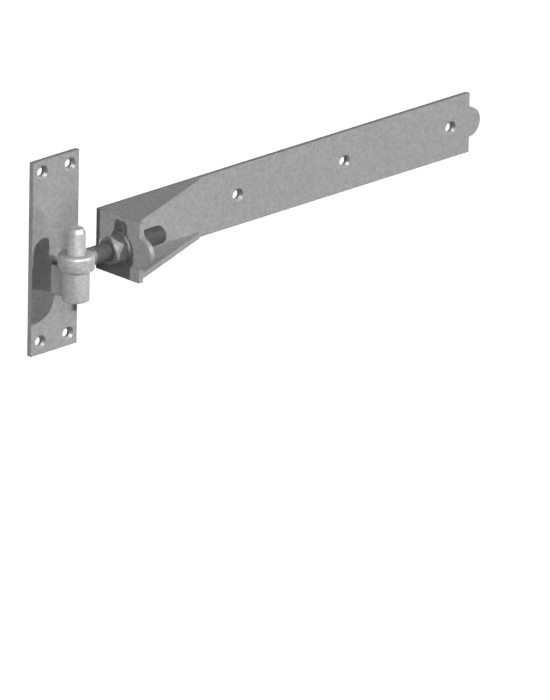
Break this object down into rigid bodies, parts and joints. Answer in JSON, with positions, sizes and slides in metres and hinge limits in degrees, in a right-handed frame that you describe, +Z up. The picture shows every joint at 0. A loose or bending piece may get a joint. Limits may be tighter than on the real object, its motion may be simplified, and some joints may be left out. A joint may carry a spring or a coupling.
{
  "type": "adjustable gate hinge",
  "caption": "Galvanised gate hinge: post plate with an upright pin, and a long strap carried by a threaded eye bolt whose nuts set the gap between gate and post.",
  "frame": {"origin": "centre of the post plate's back face, level with the middle of the eye", "axes": "+X along the strap with the gate closed, +Y into the post and the gate, +Z up along the pin"},
  "size_m": [0.544, 0.068, 0.177],
  "materials": {
    "galvanised_bar": "dull galvanised, faint mottle",
    "galvanised_turned": "smooth galvanised",
    "galvanised_thread": "dull galvanised thread",
    "galvanised_fastener": "satin galvanised"
  },
  "bodies": {
    "post_side": {"wall_plate": "galvanised_bar", "pin_web": "galvanised_bar", "pin_boss": "galvanised_turned", "hinge_pin": "galvanised_turned"},
    "eye_bolt": {"hinge_eye": "galvanised_turned", "threaded_rod": "galvanised_thread"},
    "gate_side": {"gate_strap": "galvanised_bar", "upper_gusset": "galvanised_bar", "lower_gusset": "galvanised_bar", "front_washer": "galvanised_fastener", "rear_washer": "galvanised_fastener"},
    "front_nut_body": {"front_nut": "galvanised_fastener"},
    "rear_nut_body": {"rear_nut": "galvanised_fastener"}
  },
  "joints": [
    {"name": "gate_swing", "type": "hinge", "parent": "post_side", "child": "eye_bolt", "pos_m": [0, -0.031, 0], "axis": [0, 0, 1], "range_deg": [-170, 10]},
    {"name": "gap_adjustment", "type": "slide", "parent": "eye_bolt", "child": "gate_side", "axis": [1, 0, 0], "range_m": [-0.018, 0.026]},
    {"name": "front_nut_turn", "type": "hinge", "parent": "gate_side", "child": "front_nut_body", "pos_m": [0.0435, -0.031, 0], "axis": [1, 0, 0], "range_deg": [-3240.1, 4680.1]},
    {"name": "rear_nut_turn", "type": "hinge", "parent": "gate_side", "child": "rear_nut_body", "pos_m": [0.0675, -0.031, 0], "axis": [1, 0, 0], "range_deg": [-3240.1, 4680.1]}
  ],
  "couplings": [
    {"joint": "front_nut_turn", "follows": "gap_adjustment", "rad_per_m": 3141.6},
    {"joint": "rear_nut_turn", "follows": "gap_adjustment", "rad_per_m": 3141.6}
  ]
}
